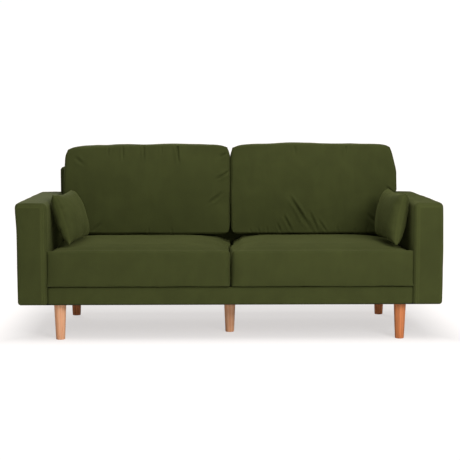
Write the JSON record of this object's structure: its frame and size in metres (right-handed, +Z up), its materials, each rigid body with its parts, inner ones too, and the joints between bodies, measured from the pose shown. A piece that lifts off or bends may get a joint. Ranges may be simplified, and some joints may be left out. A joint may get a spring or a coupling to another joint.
{
  "type": "sofa",
  "caption": "Velvet sofa with box arms, loose seat and back cushions, a scatter cushion at each arm and tapered wooden legs.",
  "frame": {"origin": "on the floor, under the middle of the footprint", "axes": "+X to the right as seen from the front, along the sofa's width; +Y from front to back; +Z up"},
  "size_m": [2, 0.85, 0.9194],
  "materials": {
    "velvet": "olive velvet",
    "foam": "open-cell foam",
    "fibre": "white polyester fibre",
    "frame_timber": "planed pine and plywood",
    "leg_wood": "satin-lacquered light hardwood",
    "steel": "plain",
    "black_cloth": "non-woven lining cloth"
  },
  "bodies": {
    "frame": {"front_rail": "frame_timber", "spring_rail": "frame_timber", "rear_board": "frame_timber", "centre_rail": "frame_timber", "left_side_rail": "frame_timber", "left_corner_block": "frame_timber", "right_side_rail": "frame_timber", "right_corner_block": "frame_timber", "front_left_leg": "leg_wood", "front_right_leg": "leg_wood", "front_centre_leg": "leg_wood", "rear_left_leg": "leg_wood", "rear_right_leg": "leg_wood", "front_left_hanger_bolt": "steel", "front_right_hanger_bolt": "steel", "front_centre_hanger_bolt": "steel", "rear_left_hanger_bolt": "steel", "rear_right_hanger_bolt": "steel", "left_seat_spring_1": "steel", "left_seat_spring_2": "steel", "left_seat_spring_3": "steel", "right_seat_spring_1": "steel", "right_seat_spring_2": "steel", "right_seat_spring_3": "steel", "deck_cloth": "black_cloth", "dust_cloth": "black_cloth", "front_apron": "velvet", "left_arm_front_post": "frame_timber", "left_arm_rear_post": "frame_timber", "left_arm_top_board": "frame_timber", "left_arm_bottom_board": "frame_timber", "left_arm_padding": "foam", "left_arm_cover": "velvet", "right_arm_front_post": "frame_timber", "right_arm_rear_post": "frame_timber", "right_arm_top_board": "frame_timber", "right_arm_bottom_board": "frame_timber", "right_arm_padding": "foam", "right_arm_cover": "velvet", "back_top_board": "frame_timber", "back_left_upright": "frame_timber", "back_centre_upright": "frame_timber", "back_right_upright": "frame_timber", "back_padding": "foam", "back_cover": "velvet"},
    "left_seat_cushion": {"left_seat_cushion_cover": "velvet", "left_seat_cushion_filling": "foam"},
    "left_back_cushion": {"left_back_cushion_cover": "velvet", "left_back_cushion_filling": "fibre"},
    "left_scatter_cushion": {"left_scatter_cushion": "velvet"},
    "left_seat_zip_slider": {"left_seat_cushion_zip_slider": "steel"},
    "left_back_zip_slider": {"left_back_cushion_zip_slider": "steel"},
    "right_seat_cushion": {"right_seat_cushion_cover": "velvet", "right_seat_cushion_filling": "foam"},
    "right_back_cushion": {"right_back_cushion_cover": "velvet", "right_back_cushion_filling": "fibre"},
    "right_scatter_cushion": {"right_scatter_cushion": "velvet"},
    "right_seat_zip_slider": {"right_seat_cushion_zip_slider": "steel"},
    "right_back_zip_slider": {"right_back_cushion_zip_slider": "steel"}
  },
  "joints": [
    {"name": "left_seat_cushion_lift", "type": "slide", "parent": "frame", "child": "left_seat_cushion", "axis": [0, 0, 1], "range_m": [0, 0.6]},
    {"name": "left_back_cushion_lift", "type": "slide", "parent": "left_seat_cushion", "child": "left_back_cushion", "axis": [0, 0, 1], "range_m": [0, 0.4]},
    {"name": "left_scatter_cushion_lift", "type": "slide", "parent": "left_seat_cushion", "child": "left_scatter_cushion", "axis": [0, 0, 1], "range_m": [0, 0.3]},
    {"name": "left_seat_zip_pull", "type": "slide", "parent": "left_seat_cushion", "child": "left_seat_zip_slider", "axis": [1, 0, 0], "range_m": [0, 0.67]},
    {"name": "left_back_zip_pull", "type": "slide", "parent": "left_back_cushion", "child": "left_back_zip_slider", "axis": [1, 0, 0], "range_m": [0, 0.665]},
    {"name": "right_seat_cushion_lift", "type": "slide", "parent": "frame", "child": "right_seat_cushion", "axis": [0, 0, 1], "range_m": [0, 0.6]},
    {"name": "right_back_cushion_lift", "type": "slide", "parent": "right_seat_cushion", "child": "right_back_cushion", "axis": [0, 0, 1], "range_m": [0, 0.4]},
    {"name": "right_scatter_cushion_lift", "type": "slide", "parent": "right_seat_cushion", "child": "right_scatter_cushion", "axis": [0, 0, 1], "range_m": [0, 0.3]},
    {"name": "right_seat_zip_pull", "type": "slide", "parent": "right_seat_cushion", "child": "right_seat_zip_slider", "axis": [1, 0, 0], "range_m": [0, 0.67]},
    {"name": "right_back_zip_pull", "type": "slide", "parent": "right_back_cushion", "child": "right_back_zip_slider", "axis": [1, 0, 0], "range_m": [0, 0.665]}
  ]
}
